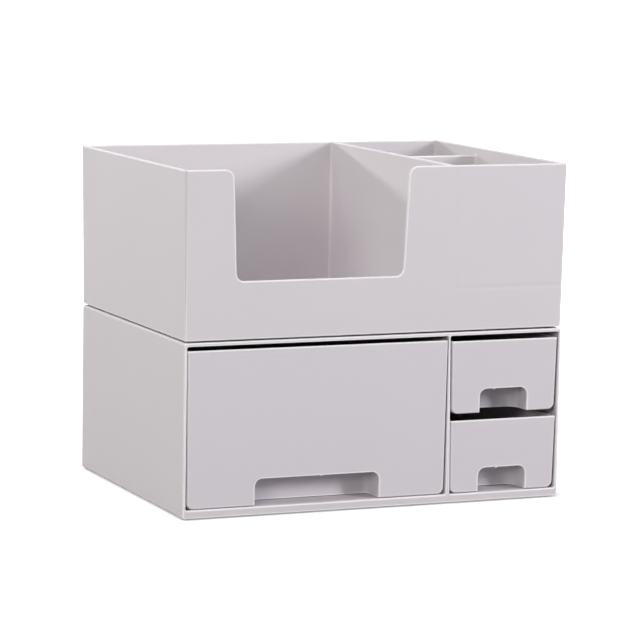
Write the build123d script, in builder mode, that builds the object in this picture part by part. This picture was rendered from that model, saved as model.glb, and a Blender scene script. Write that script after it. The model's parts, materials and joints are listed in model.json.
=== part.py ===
from build123d import *
import math
import os

# Makeup organizer: an open tray standing on a three-drawer cabinet, all moulded plastic.
# Millimetres. +Z up, fronts face -Y, origin under the middle of the object on the table.

# Driving dimensions of the cabinet
cabinet_width = 260.0
cabinet_depth = 194.0
cabinet_height = 110.0
side_wall = 1.8
right_wall = 1.5
rear_wall = 1.8
top_panel = 2.2
partition_wall = 1.8
small_bay_width = 76.6
small_bay_left_lean = 0.8
small_bay_right_lean = 0.3
rail_height = 5.2
floor_panel = 2.2
skirt_wall = 2.0
cabinet_long_edge_radius = 1.2
cabinet_rear_edge_radius = 1.8
bay_corner_radius = 1.2
front_edge_radius = 0.45

# Stiffening ribs under the cabinet floor
floor_rib_wall = 1.4
floor_rib_height = 2.2
floor_ribs_across = 3
floor_ribs_deep = 4

# Non-slip pads under the cabinet
pad_radius = 6.0
pad_thickness = 2.5
pad_stand = 1.0
pad_inset = 20.0
pad_edge_radius = 0.5
pad_ring_wall = 1.5
pad_ring_clearance = 0.3
pad_ring_lip = 1.0

# Ledges that carry the upper small drawer
ledge_setback = 20.0
ledge_thickness = 1.8
ledge_gusset = 0.8
ledge_bearing = 3.0
ledge_root = 0.8

# Drawers
running_gap = 0.3
large_side_gap = 0.4
large_top_gap = 2.8
large_draft = 0.45
small_side_gap = 0.7
small_top_gap = 3.75
small_middle_gap = 4.35
small_draft = 1.0
front_setback = 0.4
rear_gap = 1.0
drawer_wall = 1.7
drawer_bottom_radius = 4.5
drawer_edge_radius = 1.1
drawer_rim_radius = 0.5

# Finger pockets, moulded up into the drawers from below
large_notch_width = 85.0
large_notch_height = 17.0
large_pocket_radius = 4.0
small_notch_width = 33.6
small_notch_height = 15.5
small_pocket_radius = 8.0
notch_corner_radius = 5.0
notch_edge_radius = 0.5
pocket_depth = 18.0
pocket_lip = 6.0
pocket_edge_radius = 1.5

# Tray
tray_height = 106.0
rim_overhang = 1.0
tray_draft = 0.75
tray_wall = 1.9
tray_floor = 2.2
tray_corner_radius = 2.0
tray_base_radius = 0.8
tray_rim_radius = 0.5
divider_wall = 2.0
rear_compartment_depth = 62.0
cross_divider_drop = 5.5
compartment_radius = 1.6
raised_floor_height = 28.0
raised_floor_skirt = 2.4

# Scoop cut into the tray's front wall
scoop_sill = 36.5
scoop_bottom_width = 112.8
scoop_side_slope = 2.5
scoop_rim_radius = 6.0
scoop_sill_radius = 5.0
scoop_reach = 4.0

# Feet moulded under the tray, and their sockets in the cabinet's top
foot_radius = 5.0
foot_wall = 1.6
foot_inset = 18.0
foot_edge_radius = 0.3
seam_gap = 1.0
socket_depth = 0.8
socket_clearance = 0.4

# Heights worked out from the table up
cabinet_base_z = pad_stand
floor_z = cabinet_base_z + rail_height
cabinet_top_z = cabinet_base_z + cabinet_height
bay_height = cabinet_top_z - top_panel - floor_z
floor_underside_z = floor_z - floor_panel
tray_base_z = cabinet_top_z + seam_gap
rim_z = tray_base_z + tray_height

# Bays, from the right wall to the left
small_bay_x = cabinet_width / 2 - right_wall - small_bay_width / 2
partition_x = small_bay_x - small_bay_width / 2 - partition_wall / 2
large_bay_width = cabinet_width - side_wall - right_wall - partition_wall - small_bay_width
large_bay_x = small_bay_x - small_bay_width / 2 - partition_wall - large_bay_width / 2

# Drawers in their bays
drawer_front_y = cabinet_depth / 2 - front_setback
drawer_depth = cabinet_depth - rear_wall - front_setback - rear_gap
large_drawer_width = large_bay_width - 2 * large_side_gap
large_drawer_height = bay_height - running_gap - large_top_gap
small_drawer_width = small_bay_width - 2 * small_side_gap
small_drawer_height = (bay_height - running_gap - small_top_gap - small_middle_gap) / 2
lower_drawer_z = floor_z + running_gap
upper_drawer_z = lower_drawer_z + small_drawer_height + small_middle_gap

# Tray plan at its rim
rim_width = cabinet_width + 2 * rim_overhang
rim_depth = cabinet_depth + 2 * rim_overhang
inner_right_x = rim_width / 2 - tray_wall
inner_back_y = rim_depth / 2 - tray_wall
divider_left_x = partition_x - divider_wall / 2
divider_right_x = partition_x + divider_wall / 2
cross_divider_y = inner_back_y - rear_compartment_depth
tray_lean = tray_height * math.tan(math.radians(tray_draft))
raised_floor_underside = raised_floor_height - tray_floor
foot_x = cabinet_width / 2 - foot_inset
foot_y = cabinet_depth / 2 - foot_inset

# How far a cutting form runs past the face that it cuts, and how near a face lies to its height
over_cut = 2.0
flat_tolerance = 0.01


def outline_edges(faces):
    """The edges round a patch of faces, without those where two of its faces meet."""
    edges = [edge for face in faces for edge in face.edges()]
    return [edge for edge in edges if sum(edge.is_same(other) for other in edges) == 1]


def bay_mouth(centre_x, width, left_lean, right_lean):
    """The opening of a bay, on the sketch in hand: its width at mid-height, and how far each side leans."""
    ceiling_z = floor_z + bay_height
    mouth = Polygon(
        (centre_x - width / 2 - left_lean, ceiling_z),
        (centre_x - width / 2 + left_lean, floor_z),
        (centre_x + width / 2 - right_lean, floor_z),
        (centre_x + width / 2 + right_lean, ceiling_z),
        align=None,
    )
    fillet(mouth.vertices(), radius=bay_corner_radius)


def cut_plan(left_x, right_x, front_y, back_y):
    """A rounded rectangle between four wall faces, on the sketch in hand."""
    with Locations(((left_x + right_x) / 2, (front_y + back_y) / 2)):
        RectangleRounded(right_x - left_x, back_y - front_y, compartment_radius)


# Cabinet shell: one moulding, open at the front, with its partition, ledges and underside
with BuildPart() as cabinet_shell:
    with BuildSketch(Plane.XZ.offset(cabinet_depth / 2)):
        with Locations((0, cabinet_base_z)):
            RectangleRounded(
                cabinet_width, cabinet_height, cabinet_long_edge_radius, align=(Align.CENTER, Align.MIN)
            )
    extrude(amount=-cabinet_depth)
    fillet(cabinet_shell.faces().sort_by(Axis.Y)[-1].edges(), radius=cabinet_rear_edge_radius)
    fillet(cabinet_shell.faces().sort_by(Axis.Y)[0].edges(), radius=front_edge_radius)

    # Bays for the drawers, moulded from the front
    with BuildSketch(Plane.XZ.offset(cabinet_depth / 2)):
        bay_mouth(large_bay_x, large_bay_width, 0, 0)
        bay_mouth(small_bay_x, small_bay_width, small_bay_left_lean, small_bay_right_lean)
    extrude(amount=rear_wall - cabinet_depth, mode=Mode.SUBTRACT)
    bay_mouths = cabinet_shell.faces().sort_by(Axis.Y)[0].inner_wires().edges()
    fillet(bay_mouths, radius=front_edge_radius)

    # Ledges along both sides of the small bay, with a gusset under each
    upper_lean = small_drawer_height * math.tan(math.radians(small_draft))
    upper_flat = small_drawer_width - 2 * (upper_lean + drawer_bottom_radius)
    ledge_width = (small_bay_width - upper_flat) / 2 + ledge_bearing
    ledge_top_z = upper_drawer_z - running_gap
    with BuildSketch(Plane.XZ.offset(cabinet_depth / 2 - ledge_setback)):
        with BuildLine():
            wall_x = small_bay_x + small_bay_width / 2 + ledge_root
            ledge_x = small_bay_x + small_bay_width / 2 - ledge_width
            Polyline(
                (wall_x, ledge_top_z),
                (ledge_x, ledge_top_z),
                (ledge_x, ledge_top_z - ledge_thickness),
                (wall_x, ledge_top_z - ledge_thickness - ledge_gusset),
                close=True,
            )
        make_face()
        mirror(about=Plane.YZ.offset(small_bay_x))
    extrude(amount=ledge_setback + rear_wall - cabinet_depth)

    # Hollow underside with its skirt, ribs and pad seats
    rib_pitch_x = cabinet_width / (floor_ribs_deep + 1)
    rib_pitch_y = cabinet_depth / (floor_ribs_across + 1)
    with BuildSketch(Plane.XY.offset(cabinet_base_z)):
        RectangleRounded(
            cabinet_width - 2 * skirt_wall, cabinet_depth - 2 * skirt_wall, cabinet_rear_edge_radius
        )
    extrude(amount=floor_underside_z - cabinet_base_z, mode=Mode.SUBTRACT)
    with BuildSketch(Plane.XY.offset(floor_underside_z)):
        with GridLocations(rib_pitch_x, rib_pitch_y, 1, floor_ribs_across):
            Rectangle(cabinet_width - skirt_wall, floor_rib_wall)
        with GridLocations(rib_pitch_x, rib_pitch_y, floor_ribs_deep, 1):
            Rectangle(floor_rib_wall, cabinet_depth - skirt_wall)
    extrude(amount=-floor_rib_height)
    ring_radius = pad_radius + pad_ring_clearance + pad_ring_wall
    with BuildSketch(Plane.XY.offset(pad_thickness - pad_ring_lip)):
        with GridLocations(cabinet_width - 2 * pad_inset, cabinet_depth - 2 * pad_inset, 2, 2):
            Circle(ring_radius)
    extrude(until=Until.NEXT)
    with BuildSketch(Plane.XY.offset(pad_thickness)):
        with GridLocations(cabinet_width - 2 * pad_inset, cabinet_depth - 2 * pad_inset, 2, 2):
            Circle(pad_radius + pad_ring_clearance)
    extrude(amount=-pad_ring_lip, mode=Mode.SUBTRACT)

    # Sockets that the tray's feet drop into
    with BuildSketch(Plane.XY.offset(cabinet_top_z)):
        with GridLocations(2 * foot_x, 2 * foot_y, 2, 2):
            Circle(foot_radius + socket_clearance)
    extrude(amount=-socket_depth, mode=Mode.SUBTRACT)


def build_pad(label, pad_x, pad_y):
    """A round non-slip pad, from the table up to its seat under the floor."""
    with BuildPart() as pad:
        with BuildSketch(Plane.XY):
            with Locations((pad_x, pad_y)):
                Circle(pad_radius)
        extrude(amount=pad_thickness)
        fillet(pad.faces().sort_by(Axis.Z)[0].edges(), radius=pad_edge_radius)
    pad.part.label = label
    return pad.part


def build_drawer(label, centre_x, base_z, size, draft_angle, notch_size, pocket_radius):
    """A drafted open box with a finger pocket moulded up into it behind a notch in its front."""
    width, height = size
    notch_width, notch_height = notch_size
    top_z = base_z + height
    lean = height * math.tan(math.radians(draft_angle))
    base_width = width - 2 * lean
    front_plane = Plane.XZ.offset(drawer_front_y)
    front_foot_y = lean - drawer_front_y
    with BuildPart() as drawer:
        # Outer form: the front outline run back, its two ends leaning in towards the bottom
        with BuildSketch(front_plane):
            with BuildLine():
                FilletPolyline(
                    (centre_x - width / 2, top_z),
                    (centre_x - base_width / 2, base_z),
                    (centre_x + base_width / 2, base_z),
                    (centre_x + width / 2, top_z),
                    radius=drawer_bottom_radius,
                )
                Line((centre_x + width / 2, top_z), (centre_x - width / 2, top_z))
            make_face()
        extrude(amount=-drawer_depth)
        ends = drawer.faces().filter_by(Axis.Y)
        draft(ends, Plane.XY.offset(top_z), -draft_angle)
        for end in (drawer.faces().sort_by(Axis.Y)[0], drawer.faces().sort_by(Axis.Y)[-1]):
            fillet(end.edges().sort_by(Axis.Z)[:-1], radius=drawer_edge_radius)

        # Hollow, open at the rim
        offset(amount=-drawer_wall, openings=drawer.faces().sort_by(Axis.Z)[-1])
        rim = drawer.faces().sort_by(Axis.Z)[-1]
        fillet(rim.edges(), radius=drawer_rim_radius)

        # Housing of the finger pocket, standing on the floor inside the front wall
        ceiling_z = base_z + notch_height + pocket_lip
        roof_z = ceiling_z + drawer_wall
        housing_base_z = base_z + drawer_wall / 2
        housing_front_y = front_foot_y + drawer_wall / 2
        pocket_front_y = front_foot_y + drawer_wall
        pocket_back_y = front_foot_y + pocket_depth
        with BuildSketch(Plane.XY.offset(housing_base_z)):
            with Locations((centre_x, housing_front_y)):
                housing_plan = Rectangle(
                    notch_width + 2 * drawer_wall,
                    pocket_back_y + drawer_wall - housing_front_y,
                    align=(Align.CENTER, Align.MIN),
                )
            fillet(housing_plan.vertices().group_by(Axis.Y)[-1], radius=pocket_radius + drawer_wall)
        extrude(amount=roof_z - housing_base_z)
        housing_roof = drawer.faces().filter_by_position(
            Axis.Z, roof_z - flat_tolerance, roof_z + flat_tolerance
        )
        fillet(housing_roof.edges().sort_by(Axis.Y)[1:], radius=pocket_edge_radius)

        # Pocket, open below, and the notch that opens it through the front wall
        with BuildSketch(Plane.XY.offset(base_z - over_cut)):
            with Locations((centre_x, pocket_front_y)):
                pocket_plan = Rectangle(
                    notch_width, pocket_back_y - pocket_front_y, align=(Align.CENTER, Align.MIN)
                )
            fillet(pocket_plan.vertices().group_by(Axis.Y)[-1], radius=pocket_radius)
        extrude(amount=ceiling_z - base_z + over_cut, mode=Mode.SUBTRACT)
        with BuildSketch(front_plane.offset(over_cut)):
            with Locations((centre_x, base_z - over_cut)):
                notch = Rectangle(
                    notch_width, notch_height + over_cut, align=(Align.CENTER, Align.MIN)
                )
            fillet(notch.vertices().group_by(Axis.Y)[-1], radius=notch_corner_radius)
        extrude(
            amount=-(over_cut + drawer_front_y + pocket_front_y + drawer_wall / 2), mode=Mode.SUBTRACT
        )
        front_face = drawer.faces().filter_by(GeomType.PLANE).sort_by(Axis.Y)[0]
        notch_edges = [
            edge
            for edge in front_face.edges()
            if abs(edge.center().X - centre_x) < notch_width / 2 + notch_edge_radius
            and edge.center().Z < ceiling_z
        ]
        fillet(notch_edges, radius=notch_edge_radius)
    drawer.part.label = label
    return drawer.part


# Tray: one moulding with drafted walls, a scooped front and two fixed dividers
with BuildPart() as top_tray:
    with BuildSketch(Plane.XY.offset(rim_z)):
        RectangleRounded(rim_width, rim_depth, tray_corner_radius)
    extrude(amount=-tray_height, taper=tray_draft)
    fillet(top_tray.faces().sort_by(Axis.Z)[0].edges(), radius=tray_base_radius)

    # Compartments: the long one on the left, and two on the right of the long divider
    with BuildSketch(Plane.XY.offset(rim_z)):
        cut_plan(-inner_right_x, divider_left_x, -inner_back_y, inner_back_y)
        cut_plan(divider_right_x, inner_right_x, cross_divider_y, inner_back_y)
    extrude(amount=tray_floor - tray_height, taper=tray_draft, mode=Mode.SUBTRACT)
    with BuildSketch(Plane.XY.offset(rim_z)):
        cut_plan(divider_right_x, inner_right_x, -inner_back_y, cross_divider_y - divider_wall)
    extrude(amount=raised_floor_height - tray_height, taper=tray_draft, mode=Mode.SUBTRACT)
    with BuildSketch(Plane.XY.offset(rim_z)):
        cut_plan(divider_right_x, inner_right_x, -inner_back_y, inner_back_y)
    extrude(amount=-cross_divider_drop, taper=tray_draft, mode=Mode.SUBTRACT)
    for floor_height in (tray_floor, raised_floor_height):
        floor_level = tray_base_z + floor_height
        compartment_floors = top_tray.faces().filter_by_position(
            Axis.Z, floor_level - flat_tolerance, floor_level + flat_tolerance
        )
        fillet(compartment_floors.edges(), radius=compartment_radius / 2)

    # Hollow under the raised floor of the front right compartment
    with BuildSketch(Plane.XY.offset(tray_base_z)):
        cut_plan(
            partition_x,
            rim_width / 2 - tray_lean - raised_floor_skirt,
            tray_lean + raised_floor_skirt - rim_depth / 2,
            cross_divider_y - divider_wall / 2,
        )
    extrude(amount=raised_floor_underside, taper=tray_draft, mode=Mode.SUBTRACT)

    # Scoop through the front wall
    scoop_x = (divider_left_x - inner_right_x) / 2
    sill_z = tray_base_z + scoop_sill
    scoop_flare = (rim_z - sill_z) * math.tan(math.radians(scoop_side_slope))
    scoop_rim_half = scoop_bottom_width / 2 + scoop_flare
    with BuildSketch(Plane.XZ.offset(rim_depth / 2 + over_cut)):
        with BuildLine():
            shoulder = scoop_rim_half + 2 * scoop_rim_radius
            FilletPolyline(
                (scoop_x - shoulder, rim_z),
                (scoop_x - scoop_rim_half, rim_z),
                (scoop_x - scoop_bottom_width / 2, sill_z),
                (scoop_x + scoop_bottom_width / 2, sill_z),
                (scoop_x + scoop_rim_half, rim_z),
                (scoop_x + shoulder, rim_z),
                radius=(scoop_rim_radius, scoop_sill_radius, scoop_sill_radius, scoop_rim_radius),
            )
            Polyline(
                (scoop_x + shoulder, rim_z),
                (scoop_x + shoulder, rim_z + over_cut),
                (scoop_x - shoulder, rim_z + over_cut),
                (scoop_x - shoulder, rim_z),
            )
        make_face()
    extrude(amount=-(over_cut + tray_wall + scoop_reach), mode=Mode.SUBTRACT)

    # Rounded rim, carried on down the sides of the scoop and along its sill
    rim_band = top_tray.faces().filter_by_position(Axis.Z, rim_z - flat_tolerance, rim_z + flat_tolerance)
    rim_band += top_tray.faces().filter_by(
        lambda face: abs(face.center().X - scoop_x) < shoulder
        and face.center().Y < tray_wall - inner_back_y
        and face.center().Z > sill_z - flat_tolerance
        and abs(face.normal_at().Y) < flat_tolerance
    )
    fillet(outline_edges(rim_band), radius=tray_rim_radius)

    # Ring feet that drop into the cabinet's sockets, one of them reaching down from the raised floor
    foot_height = seam_gap + socket_depth
    with BuildSketch(Plane.XY.offset(tray_base_z)):
        with Locations((foot_x, -foot_y)):
            Circle(foot_radius)
    extrude(amount=raised_floor_underside)
    with BuildSketch(Plane.XY.offset(tray_base_z)):
        with GridLocations(2 * foot_x, 2 * foot_y, 2, 2):
            Circle(foot_radius)
    extrude(amount=-foot_height)
    with BuildSketch(Plane.XY.offset(tray_base_z - foot_height)):
        with GridLocations(2 * foot_x, 2 * foot_y, 2, 2):
            Circle(foot_radius - foot_wall)
    extrude(amount=foot_height, mode=Mode.SUBTRACT)
    with BuildSketch(Plane.XY.offset(tray_base_z)):
        with Locations((foot_x, -foot_y)):
            Circle(foot_radius - foot_wall)
    extrude(amount=raised_floor_underside, mode=Mode.SUBTRACT)
    fillet(top_tray.faces().group_by(Axis.Z)[0].edges(), radius=foot_edge_radius)


pad_x = cabinet_width / 2 - pad_inset
pad_y = cabinet_depth / 2 - pad_inset
pieces = [
    build_pad("front_left_pad", -pad_x, -pad_y),
    build_pad("front_right_pad", pad_x, -pad_y),
    build_pad("rear_left_pad", -pad_x, pad_y),
    build_pad("rear_right_pad", pad_x, pad_y),
    build_drawer(
        "large_drawer",
        large_bay_x,
        lower_drawer_z,
        (large_drawer_width, large_drawer_height),
        large_draft,
        (large_notch_width, large_notch_height),
        large_pocket_radius,
    ),
]
for label, base_z in (("lower_small_drawer", lower_drawer_z), ("upper_small_drawer", upper_drawer_z)):
    pieces.append(
        build_drawer(
            label,
            small_bay_x,
            base_z,
            (small_drawer_width, small_drawer_height),
            small_draft,
            (small_notch_width, small_notch_height),
            small_pocket_radius,
        )
    )

os.makedirs("parts", exist_ok=True)
cabinet_shell.part.label = "cabinet_shell"
export_step(cabinet_shell.part, "parts/cabinet_shell.step")
top_tray.part.label = "top_tray"
export_step(top_tray.part, "parts/top_tray.step")
for piece in pieces:
    export_step(piece, f"parts/{piece.label}.step")
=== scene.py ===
import json
import math
from collections import namedtuple

import bmesh
import bpy
from mathutils import Matrix, Vector


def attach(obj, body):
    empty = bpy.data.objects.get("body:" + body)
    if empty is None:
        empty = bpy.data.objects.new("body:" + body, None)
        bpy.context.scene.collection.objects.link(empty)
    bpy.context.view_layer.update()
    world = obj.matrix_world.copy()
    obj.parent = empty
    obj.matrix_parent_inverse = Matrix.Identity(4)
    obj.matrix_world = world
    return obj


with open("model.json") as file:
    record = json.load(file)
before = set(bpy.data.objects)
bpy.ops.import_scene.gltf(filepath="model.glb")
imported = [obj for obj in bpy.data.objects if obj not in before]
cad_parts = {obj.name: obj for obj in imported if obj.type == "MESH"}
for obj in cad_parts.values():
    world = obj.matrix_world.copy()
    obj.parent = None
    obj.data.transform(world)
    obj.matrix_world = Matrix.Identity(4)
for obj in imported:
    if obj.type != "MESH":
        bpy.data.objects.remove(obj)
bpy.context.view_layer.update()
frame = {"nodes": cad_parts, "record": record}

# Makeup organizer: an open tray standing on a three-drawer cabinet.
# Metres, +Z up. The drawers' fronts face -Y.
MM = 0.001
WHITE = (1.0, 1.0, 1.0, 1.0)


def linear(hex_colour):
    """An sRGB hex value as the linear RGBA that a shader socket takes."""
    channels = [int(hex_colour[start:start + 2], 16) / 255 for start in (1, 3, 5)]
    return [c / 12.92 if c <= 0.04045 else ((c + 0.055) / 1.055) ** 2.4 for c in channels] + [1.0]


def add(tree, kind, inputs=None, **settings):
    """Adds a shader node with its settings; inputs maps a socket to a value or to another node's output."""
    node = tree.nodes.new("ShaderNode" + kind)
    for name, value in settings.items():
        setattr(node, name, value)
    for socket, value in (inputs or {}).items():
        if isinstance(value, bpy.types.NodeSocket):
            tree.links.new(value, node.inputs[socket])
        else:
            node.inputs[socket].default_value = value
    return node


def new_material(name):
    """An empty node material and its output node."""
    material = bpy.data.materials.new(name)
    material.use_nodes = True
    material.node_tree.nodes.clear()
    return material, add(material.node_tree, "OutputMaterial")


# ---- Plastic and foam ----

# A wall or floor that meets a moulding's outer face from inside. It faces axis, and centre is its place on that axis
# at the tray's rim. It leans outwards by lean for each metre further down, and reaches x beyond x_from, y before y_to
# and z over z_from.
Wall = namedtuple("Wall", "axis centre lean x_from y_to z_from", defaults=(0.0, -1.0, 1.0, -1.0))
RIM_Z = 218 * MM
SINK_HALF_WIDTH = 2.6 * MM
SINK_DEPTH = 0.14 * MM

LONG_DIVIDER = Wall("X", 51.2 * MM, lean=0.0255, z_from=139.5 * MM)
CROSS_DIVIDER = Wall("Y", 33.1 * MM, x_from=54 * MM, z_from=116 * MM)
RAISED_FLOOR = Wall("Z", 139.3 * MM, x_from=51 * MM, y_to=34 * MM)
BAY_PARTITION = Wall("X", 51.05 * MM)
NARROW_DRAWER_LEDGE = Wall("Z", 53 * MM, x_from=100 * MM)


def sink_lines(tree, place, walls):
    """The slight sinks that a moulding shows opposite its inner walls: 1 on a wall's line, 0 beside it."""
    reach = add(tree, "SeparateXYZ", {0: place}).outputs
    down = add(tree, "Math", {0: RIM_Z, 1: reach["Z"]}, operation="SUBTRACT")
    deepest = None
    for wall in walls:
        line = add(tree, "Math", {0: down.outputs[0], 1: wall.lean, 2: wall.centre}, operation="MULTIPLY_ADD")
        away = add(tree, "Math", {0: reach[wall.axis], 1: line.outputs[0]}, operation="SUBTRACT")
        away = add(tree, "Math", {0: away.outputs[0]}, operation="ABSOLUTE")
        sink = add(
            tree,
            "MapRange",
            {"Value": away.outputs[0], "From Max": SINK_HALF_WIDTH, "To Min": 1.0, "To Max": 0.0},
            interpolation_type="SMOOTHSTEP",
        )
        within = add(tree, "Math", {0: reach["X"], 1: wall.x_from}, operation="GREATER_THAN")
        before = add(tree, "Math", {0: reach["Y"], 1: wall.y_to}, operation="LESS_THAN")
        above = add(tree, "Math", {0: reach["Z"], 1: wall.z_from}, operation="GREATER_THAN")
        within = add(tree, "Math", {0: within.outputs[0], 1: before.outputs[0]}, operation="MULTIPLY")
        within = add(tree, "Math", {0: within.outputs[0], 1: above.outputs[0]}, operation="MULTIPLY")
        sink = add(tree, "Math", {0: sink.outputs["Result"], 1: within.outputs[0]}, operation="MULTIPLY")
        if deepest is not None:
            sink = add(tree, "Math", {0: sink.outputs[0], 1: deepest}, operation="MAXIMUM")
        deepest = sink.outputs[0]
    return deepest


def edge_highlight_and_rub_mask(tree):
    """1 along a moulding's rounded outward edges, 0 on its faces and in its corners: the mask for a painted highlight
    on the edges and for their lower roughness.
    """
    rounded = add(tree, "Bevel", {"Radius": 1.8 * MM}, samples=8)
    flat = add(tree, "NewGeometry")
    turned = add(
        tree,
        "VectorMath",
        {0: rounded.outputs["Normal"], 1: flat.outputs["True Normal"]},
        operation="DOT_PRODUCT",
    )
    bent = add(
        tree,
        "MapRange",
        {"Value": turned.outputs["Value"], "From Min": 0.999, "From Max": 0.95},
        interpolation_type="SMOOTHSTEP",
    )

    # A corner bends as an edge does, but only an edge stands in open air
    air = add(tree, "AmbientOcclusion", {"Distance": 2.5 * MM}, samples=4, only_local=True)
    open_air = add(tree, "MapRange", {"Value": air.outputs["AO"], "From Min": 0.6, "From Max": 0.85})
    edges = add(
        tree, "Math", {0: bent.outputs["Result"], 1: open_air.outputs["Result"]}, operation="MULTIPLY"
    )
    return edges.outputs[0]


def satin_polypropylene(name, darker, paler, walls=()):
    """Injection-moulded polypropylene from a spark-eroded mould: a soft satin, a touch uneven, with a painted
    highlight on its edges.
    """
    material, output = new_material(name)
    tree = material.node_tree
    place = add(tree, "TexCoord").outputs["Object"]

    # Pigment and gloss drift a little over the moulding, in patches about 70 mm across
    flow = add(tree, "TexNoise", {"Vector": place, "Scale": 1 / (70 * MM), "Detail": 2.0, "Roughness": 0.45})
    tone = add(
        tree, "Mix", {0: flow.outputs["Fac"], 6: linear(darker), 7: linear(paler)}, data_type="RGBA"
    )
    roughness = add(
        tree,
        "MapRange",
        {"Value": flow.outputs["Fac"], "From Min": 0.3, "From Max": 0.7, "To Min": 0.66, "To Max": 0.74},
    )

    # The rounded edges are mixed toward white, a painted highlight, and are made glossier, as if rubbed smoother in
    # use
    edges = edge_highlight_and_rub_mask(tree)
    # Painted highlight: the edge colour is blended toward white
    colour = add(tree, "Mix", {0: edges, 6: tone.outputs[2], 7: WHITE}, data_type="RGBA")
    roughness = add(
        tree, "Math", {0: edges, 1: -0.12, 2: roughness.outputs["Result"]}, operation="MULTIPLY_ADD"
    )

    # Thin walls warp by a few hundredths of a millimetre as they cool, and sink where a wall joins behind them
    warp = add(tree, "TexNoise", {"Vector": place, "Scale": 1 / (45 * MM), "Detail": 1.0, "Roughness": 0.4})
    shaped = add(tree, "Bump", {"Height": warp.outputs["Fac"], "Strength": 1.0, "Distance": 0.25 * MM})
    if walls:
        shaped = add(
            tree,
            "Bump",
            {
                "Height": sink_lines(tree, place, walls),
                "Strength": 1.0,
                "Distance": SINK_DEPTH,
                "Normal": shaped.outputs["Normal"],
            },
            invert=True,
        )

    # Spark-eroded grain, drawn at 0.8 mm so that it shows: the real one is about 0.1 mm
    grain = add(tree, "TexNoise", {"Vector": place, "Scale": 1 / (0.8 * MM), "Detail": 2.0, "Roughness": 0.6})
    grained = add(
        tree,
        "Bump",
        {
            "Height": grain.outputs["Fac"],
            "Strength": 0.12,
            "Distance": 0.05 * MM,
            "Normal": shaped.outputs["Normal"],
        },
    )
    shader = add(
        tree,
        "BsdfPrincipled",
        {
            "Base Color": colour.outputs[2],
            "Roughness": roughness.outputs[0],
            "Normal": grained.outputs["Normal"],
            "IOR": 1.49,
            "Specular IOR Level": 0.35,
        },
    )
    tree.links.new(shader.outputs["BSDF"], output.inputs["Surface"])
    return material


def foam_rubber(name, colour):
    """Die-cut foam rubber: dull grey, with open cells under a millimetre across."""
    material, output = new_material(name)
    tree = material.node_tree
    place = add(tree, "TexCoord").outputs["Object"]
    cells = add(tree, "TexVoronoi", {"Vector": place, "Scale": 1 / (0.7 * MM)})
    pits = add(tree, "Bump", {"Height": cells.outputs["Distance"], "Strength": 0.4, "Distance": 0.2 * MM})
    shader = add(
        tree,
        "BsdfPrincipled",
        {"Base Color": linear(colour), "Roughness": 0.85, "Normal": pits.outputs["Normal"]},
    )
    tree.links.new(shader.outputs["BSDF"], output.inputs["Surface"])
    return material


finishes = {
    "tray_plastic": satin_polypropylene(
        "Tray satin polypropylene", "#CFCACE", "#D4CFD3", (LONG_DIVIDER, CROSS_DIVIDER, RAISED_FLOOR)
    ),
    "cabinet_plastic": satin_polypropylene(
        "Cabinet satin polypropylene", "#CDC8CC", "#D1CCD0", (BAY_PARTITION, NARROW_DRAWER_LEDGE)
    ),
    "drawer_plastic": satin_polypropylene("Drawer satin polypropylene", "#CDC8CD", "#D1CCD1"),
    "pad_rubber": foam_rubber("Pad foam rubber", "#6E6E70"),
}
for part in frame["record"]["subparts"]:
    for material_slot in frame["nodes"][part["node"]].material_slots:
        material_slot.material = finishes[part["material_slot"]]


# ---- Gate nubs on the drawers ----

NUB_RADIUS = 0.9 * MM
NUB_FLATNESS = (1.0, 0.7, 0.65)


def gate_vestige(drawer, place):
    """The nub left on the lip of a drawer's notch where the mould's gate was nipped off."""
    nub = bmesh.new()
    bmesh.ops.create_uvsphere(nub, u_segments=16, v_segments=10, radius=NUB_RADIUS)
    bmesh.ops.scale(nub, vec=NUB_FLATNESS, verts=nub.verts)
    bmesh.ops.translate(nub, vec=place, verts=nub.verts)
    mesh = bpy.data.meshes.new(drawer + "_gate_vestige")
    nub.to_mesh(mesh)
    nub.free()
    mesh.materials.append(finishes["drawer_plastic"])
    piece = bpy.data.objects.new(mesh.name, mesh)
    bpy.context.scene.collection.objects.link(piece)
    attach(piece, drawer)


gate_vestige("large_drawer", (-36.1 * MM, -95.1 * MM, 23.4 * MM))
gate_vestige("lower_small_drawer", (86.4 * MM, -95.2 * MM, 21.9 * MM))
gate_vestige("upper_small_drawer", (83.6 * MM, -95.2 * MM, 73.35 * MM))


# ---- Studio ----

FLOOR_HALF_SIZE = 12.0
CABINET_FOOTPRINT = (130 * MM, 97 * MM, 0)
# Width of the band of painted shade round the cabinet's footprint
PAINTED_CONTACT_SHADE_WIDTH = 22 * MM


def seen_rays(tree):
    """1 for the rays that show a surface to the camera, straight, in gloss or through glass, and 0 for the rest."""
    rays = add(tree, "LightPath").outputs
    seen = add(tree, "Math", {0: rays["Is Camera Ray"], 1: rays["Is Glossy Ray"]}, operation="MAXIMUM")
    seen = add(tree, "Math", {0: seen.outputs[0], 1: rays["Is Transmission Ray"]}, operation="MAXIMUM")
    return seen.outputs[0]


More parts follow.
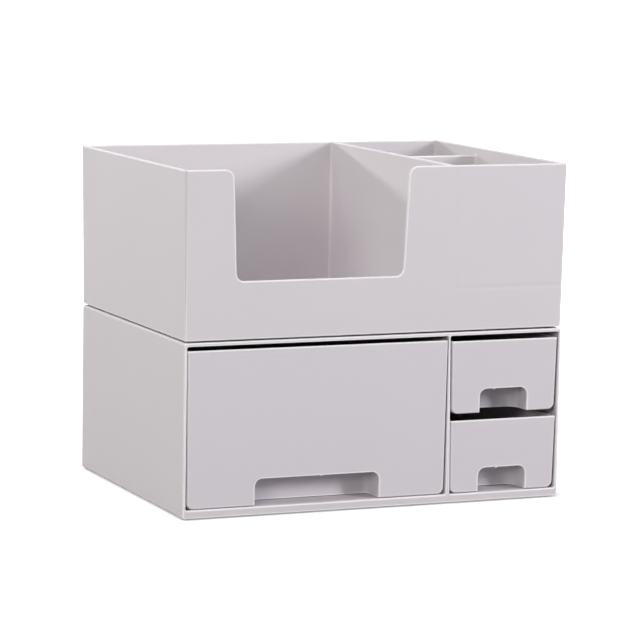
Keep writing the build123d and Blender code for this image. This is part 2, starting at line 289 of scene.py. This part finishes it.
def white_paper(name):
    """White paper that keeps the object's own soft shadow, darkened further round the footprint by painted shade, and
    throws less light back than it shows.
    """
    material, output = new_material(name)
    tree = material.node_tree

    # How far a point of the floor lies outside the cabinet's footprint
    place = add(tree, "TexCoord").outputs["Object"]
    spread = add(tree, "VectorMath", {0: place}, operation="ABSOLUTE")
    beside = add(tree, "VectorMath", {0: spread.outputs["Vector"], 1: CABINET_FOOTPRINT}, operation="SUBTRACT")
    beside = add(tree, "SeparateXYZ", {0: beside.outputs["Vector"]}).outputs
    clear = add(tree, "Math", {0: beside["X"], 1: beside["Y"]}, operation="MAXIMUM").outputs[0]

    # The paper is brightened to white away from the object, and less in a band round the cabinet's footprint: painted
    # shade, added to the real shadow there
    lift_with_painted_contact_shade = add(
        tree,
        "MapRange",
        {"Value": clear, "From Max": PAINTED_CONTACT_SHADE_WIDTH, "To Min": 0.3, "To Max": 0.8},
        interpolation_type="SMOOTHSTEP",
    )
    far = add(tree, "MapRange", {"Value": clear, "From Min": 0.3, "From Max": 1.5, "To Max": 0.6})
    lift = add(tree, "Math", {0: lift_with_painted_contact_shade.outputs["Result"], 1: far.outputs["Result"]}, operation="ADD")
    glow = add(tree, "Emission", {"Color": WHITE, "Strength": lift.outputs[0]})
    paper = add(tree, "BsdfDiffuse", {"Color": linear("#E9E9E9")})
    shown = add(tree, "AddShader", {0: paper.outputs["BSDF"], 1: glow.outputs["Emission"]})
    thrown_back = add(tree, "BsdfDiffuse", {"Color": linear("#A0A0A0")})
    blend = add(
        tree,
        "MixShader",
        {"Fac": seen_rays(tree), 1: thrown_back.outputs["BSDF"], 2: shown.outputs["Shader"]},
    )
    tree.links.new(blend.outputs["Shader"], output.inputs["Surface"])
    return material


sheet = bmesh.new()
bmesh.ops.create_grid(sheet, x_segments=1, y_segments=1, size=FLOOR_HALF_SIZE)
floor_mesh = bpy.data.meshes.new("studio_floor")
sheet.to_mesh(floor_mesh)
sheet.free()
floor_mesh.materials.append(white_paper("White paper floor"))
floor = bpy.data.objects.new("studio_floor", floor_mesh)
bpy.context.scene.collection.objects.link(floor)

# World: a faint even light, and white behind the object
world = bpy.data.worlds.new("Studio")
world.use_nodes = True
sky_tree = world.node_tree
sky_tree.nodes.clear()
faint = add(sky_tree, "Background", {"Color": WHITE, "Strength": 0.02})
backdrop = add(sky_tree, "Background", {"Color": WHITE, "Strength": 1.0})
sky = add(
    sky_tree,
    "MixShader",
    {"Fac": seen_rays(sky_tree), 1: faint.outputs["Background"], 2: backdrop.outputs["Background"]},
)
add(sky_tree, "OutputWorld", {"Surface": sky.outputs["Shader"]})
bpy.context.scene.world = world

# The left side is lit a little warmer than the front
WARM = "#FFFEFA"
COOL = "#FBFBFF"
NEUTRAL = "#FFFFFF"
LAMP_DISTANCE = 2.5
LAMP_TARGET = Vector((0, 0, 110 * MM))


def softbox(name, azimuth, elevation, size, power, tint):
    """A square lamp aimed at the object. Azimuth 0 is in front and 90 on the right; elevation is over the horizon."""
    turn = math.radians(azimuth)
    rise = math.radians(elevation)
    away = Vector((math.sin(turn) * math.cos(rise), -math.cos(turn) * math.cos(rise), math.sin(rise)))
    lamp = bpy.data.lights.new(name, "AREA")
    lamp.shape = "SQUARE"
    lamp.size = size
    lamp.energy = power
    lamp.color = linear(tint)[:3]
    stand = bpy.data.objects.new(name, lamp)
    stand.location = LAMP_TARGET + away * LAMP_DISTANCE
    stand.rotation_euler = away.to_track_quat("Z", "Y").to_euler()
    bpy.context.scene.collection.objects.link(stand)


softbox("front_left_softbox", -45, 22, 0.9, 14.8, WARM)
softbox("low_left_softbox", -45, 13, 0.4, 7.0, WARM)
softbox("high_left_softbox", -60, 60, 0.9, 23.8, WARM)
softbox("rear_left_softbox", -120, 42, 0.9, 7.0, WARM)
softbox("right_softbox", 45, 20, 0.4, 23.2, COOL)
softbox("low_right_softbox", 44, 13, 0.4, 12.0, COOL)
softbox("front_right_softbox", 30, 35, 0.9, 6.1, COOL)
softbox("rear_right_softbox", 110, 35, 0.9, 8.0, COOL)
softbox("low_rear_lamp", -150, 13, 0.15, 20.0, NEUTRAL)
softbox("high_rear_softbox", -150, 30, 0.9, 4.2, NEUTRAL)
softbox("rear_softbox", 165, 25, 0.9, 14.0, NEUTRAL)


# ---- Camera: its place, tilt and lens come from a fit to the object's corners ----

camera_turn = math.radians(23.242)
camera_dip = math.radians(7.617)
camera_roll = math.radians(0.999)
camera_distance = 2.0819
camera_target = Vector((1.858 * MM, 0, 108.38 * MM))

level = math.cos(camera_dip)
forward = Vector((math.sin(camera_turn) * level, math.cos(camera_turn) * level, -math.sin(camera_dip)))
right = forward.cross(Vector((0, 0, 1))).normalized()
up = right.cross(forward)
camera_axes = Matrix(
    (
        math.cos(camera_roll) * right + math.sin(camera_roll) * up,
        math.cos(camera_roll) * up - math.sin(camera_roll) * right,
        -forward,
    )
)
camera_place = camera_axes.transposed().to_4x4()
camera_place.translation = camera_target - forward * camera_distance

camera_data = bpy.data.cameras.new("camera")
camera_data.sensor_width = 36.0
camera_data.lens = 177.69
camera_data.clip_start = 0.1
camera_data.clip_end = 100
camera = bpy.data.objects.new("camera", camera_data)
camera.matrix_world = camera_place
bpy.context.scene.collection.objects.link(camera)
bpy.context.scene.camera = camera
bpy.context.scene.view_settings.view_transform = "Standard"
